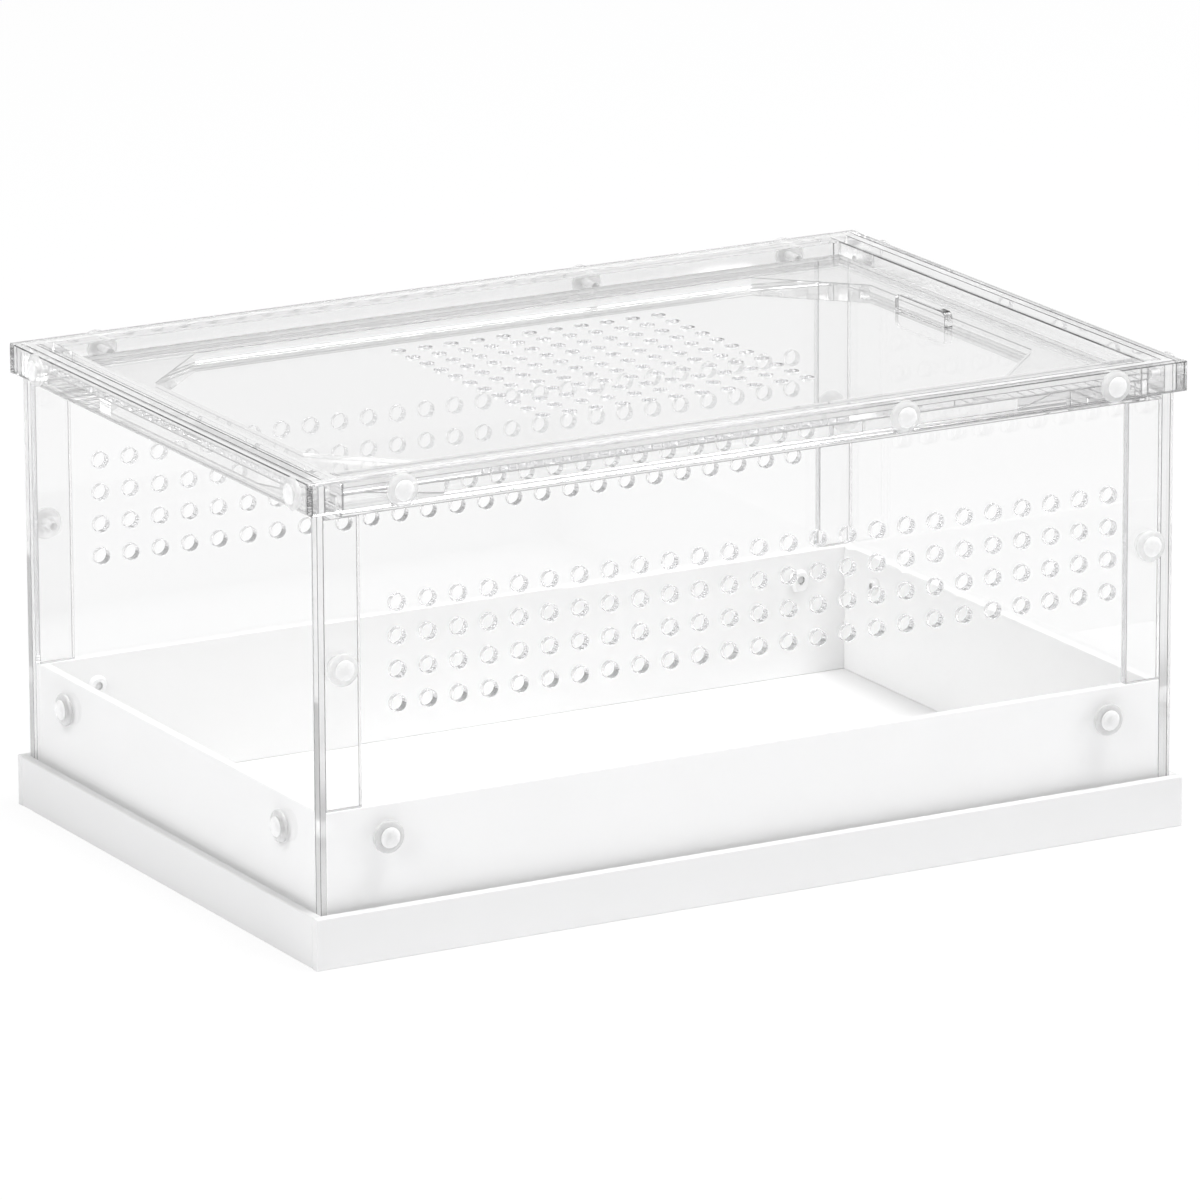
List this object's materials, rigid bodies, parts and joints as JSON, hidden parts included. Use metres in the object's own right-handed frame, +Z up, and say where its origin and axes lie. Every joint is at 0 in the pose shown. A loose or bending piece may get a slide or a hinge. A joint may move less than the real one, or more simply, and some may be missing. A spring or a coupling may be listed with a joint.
{
  "type": "acrylic reptile terrarium",
  "caption": "Clear box terrarium for small reptiles: white inner tray and plinth, vented long walls, riveted rim and a lift-out vented lid with a finger strip.",
  "frame": {"origin": "centre of the underside of the plinth", "axes": "+X to the right along the long side, +Y to the back wall, +Z up; the front wall faces -Y"},
  "size_m": [0.3052, 0.2052, 0.1485],
  "materials": {
    "clear_acrylic": "polished clear cast sheet with laser-cut edges",
    "white_sheet": "satin white rigid sheet",
    "frosted_nylon": "translucent natural moulding"
  },
  "bodies": {
    "enclosure": {"wall_front": "clear_acrylic", "wall_back": "clear_acrylic", "wall_left": "clear_acrylic", "wall_right": "clear_acrylic", "rim_trim_front": "clear_acrylic", "rim_trim_back": "clear_acrylic", "rim_trim_left": "clear_acrylic", "rim_trim_right": "clear_acrylic", "rim_bar_front": "clear_acrylic", "rim_bar_back": "clear_acrylic", "rim_bar_left": "clear_acrylic", "rim_bar_right": "clear_acrylic", "corner_strip_front_left": "clear_acrylic", "corner_strip_front_right": "clear_acrylic", "corner_strip_back_left": "clear_acrylic", "corner_strip_back_right": "clear_acrylic", "lid_ledge_frame": "clear_acrylic", "base_floor_panel": "white_sheet", "plinth_front": "white_sheet", "plinth_back": "white_sheet", "plinth_left": "white_sheet", "plinth_right": "white_sheet", "tray_wall_front": "white_sheet", "tray_wall_back": "white_sheet", "tray_wall_left": "white_sheet", "tray_wall_right": "white_sheet", "rivet_sleeves_tray": "frosted_nylon", "rivet_sleeves_corner": "frosted_nylon", "rivet_sleeves_rim": "frosted_nylon", "rivet_pins_tray": "frosted_nylon", "rivet_pins_corner": "frosted_nylon", "rivet_pins_rim": "frosted_nylon"},
    "lid": {"lid_panel": "clear_acrylic", "lid_grip_strip": "clear_acrylic"}
  },
  "joints": [
    {"name": "lid_lift", "type": "slide", "parent": "enclosure", "child": "lid", "axis": [0, 0, 1], "range_m": [0, 0.06]}
  ]
}
